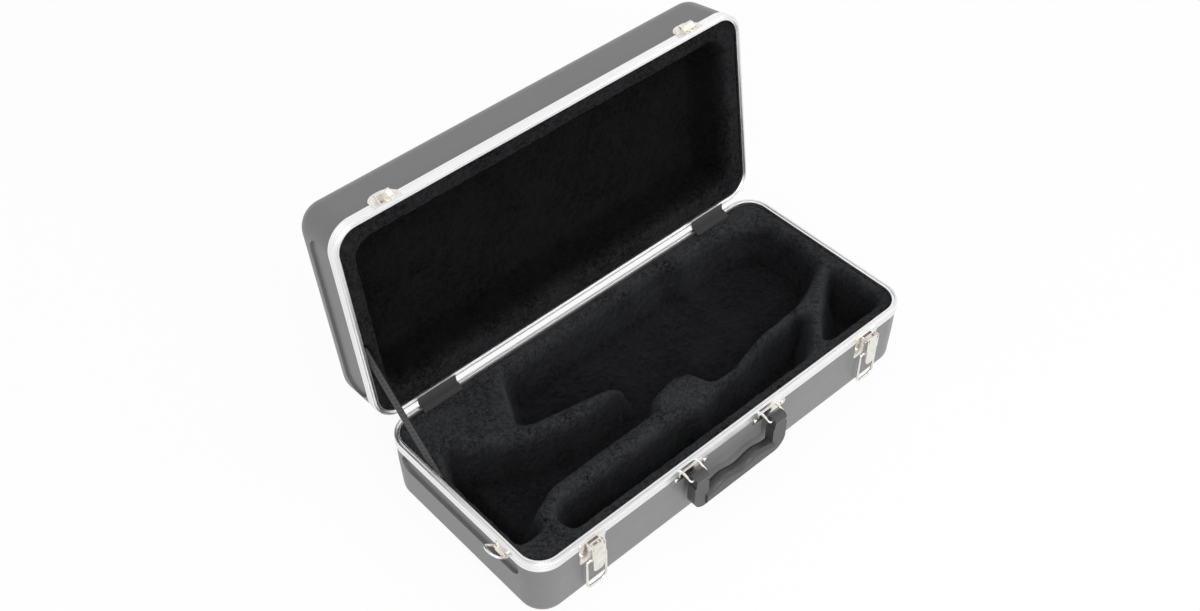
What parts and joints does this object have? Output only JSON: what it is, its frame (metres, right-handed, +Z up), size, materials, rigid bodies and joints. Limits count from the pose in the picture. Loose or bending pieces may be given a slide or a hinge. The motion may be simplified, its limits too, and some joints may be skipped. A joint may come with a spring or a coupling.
{
  "type": "trumpet case",
  "caption": "Moulded hard trumpet case with an aluminium edge frame, a hinged lid held by a webbing stay, draw latches, a swinging handle and a plush-lined fitted interior.",
  "frame": {"origin": "middle of the flat underside of the base, on the floor the case stands on", "axes": "+X along the case's length, to the right when facing the front; -Y is the front with the handle and the latches; +Y is the hinge side; +Z up"},
  "size_m": [0.5691, 0.3739, 0.3387],
  "materials": {
    "shell_plastic": "moulded black ABS with a fine leather-like grain",
    "frame_aluminium": "bright satin extrusion with two fine beads",
    "foam": "expanded foam, hidden under the plush",
    "plush": "black short-pile plush",
    "webbing": "black woven webbing",
    "handle_plastic": "moulded dark grip with a soft sheen",
    "nickel_plate": "nickel-plated pressed steel"
  },
  "bodies": {
    "base": {"base_foam_insert": "foam", "base_frame": "frame_aluminium", "base_plush_lining": "plush", "base_shell": "shell_plastic", "handle_bracket_left": "nickel_plate", "handle_bracket_right": "nickel_plate", "handle_bracket_rivets": "nickel_plate", "hinge_base_leaf_left": "nickel_plate", "hinge_base_leaf_right": "nickel_plate", "hinge_base_rivets": "nickel_plate", "hinge_cover_left": "webbing", "hinge_cover_right": "webbing", "hinge_pin_left": "nickel_plate", "hinge_pin_right": "nickel_plate", "latch_plate_left": "nickel_plate", "latch_plate_right": "nickel_plate", "latch_plate_rivets": "nickel_plate", "lever_pin_left": "nickel_plate", "lever_pin_right": "nickel_plate", "ring_bracket_left": "nickel_plate", "ring_bracket_right": "nickel_plate", "ring_bracket_rivets": "nickel_plate", "stay_base_anchor": "nickel_plate", "stay_base_rivet": "nickel_plate", "stay_strap": "webbing"},
    "lid": {"lid_shell": "shell_plastic", "lid_frame": "frame_aluminium", "lid_foam_insert": "foam", "lid_plush_lining": "plush", "hinge_lid_leaf_left": "nickel_plate", "hinge_lid_leaf_right": "nickel_plate", "hinge_lid_rivets": "nickel_plate", "stay_lid_anchor": "nickel_plate", "stay_lid_rivet": "nickel_plate", "keeper_left": "nickel_plate", "keeper_right": "nickel_plate", "keeper_rivets": "nickel_plate"},
    "lever_left": {"latch_lever_left": "nickel_plate"},
    "lever_right": {"latch_lever_right": "nickel_plate"},
    "bail_left": {"latch_bail_left": "nickel_plate"},
    "bail_right": {"latch_bail_right": "nickel_plate"},
    "handle": {"carrying_handle": "handle_plastic"},
    "ring_left": {"strap_ring_left": "nickel_plate"},
    "ring_right": {"strap_ring_right": "nickel_plate"}
  },
  "joints": [
    {"name": "lid_hinge", "type": "hinge", "parent": "base", "child": "lid", "pos_m": [0, 0.1253, 0.0882], "axis": [1, 0, 0], "range_deg": [0, 98], "deforming": ["stay_strap", "hinge_cover_left", "hinge_cover_right"]},
    {"name": "latch_lever_left", "type": "hinge", "parent": "base", "child": "lever_left", "pos_m": [-0.202, -0.129, 0.079], "axis": [1, 0, 0], "range_deg": [-110, 0]},
    {"name": "latch_bail_left", "type": "hinge", "parent": "lever_left", "child": "bail_left", "pos_m": [-0.202, -0.1285, 0.0595], "axis": [-1, 0, 0], "range_deg": [0, 183.4]},
    {"name": "latch_lever_right", "type": "hinge", "parent": "base", "child": "lever_right", "pos_m": [0.202, -0.129, 0.079], "axis": [1, 0, 0], "range_deg": [-110, 0]},
    {"name": "latch_bail_right", "type": "hinge", "parent": "lever_right", "child": "bail_right", "pos_m": [0.202, -0.1285, 0.0595], "axis": [-1, 0, 0], "range_deg": [0, 183.4]},
    {"name": "handle_swing", "type": "hinge", "parent": "base", "child": "handle", "pos_m": [-0.01, -0.1345, 0.0745], "axis": [-1, 0, 0], "range_deg": [0, 165]},
    {"name": "strap_ring_left", "type": "hinge", "parent": "base", "child": "ring_left", "pos_m": [-0.2755, -0.072, 0.079], "axis": [0, 1, 0], "range_deg": [-135, 35]},
    {"name": "strap_ring_right", "type": "hinge", "parent": "base", "child": "ring_right", "pos_m": [0.2755, -0.072, 0.079], "axis": [0, -1, 0], "range_deg": [0, 170]}
  ]
}
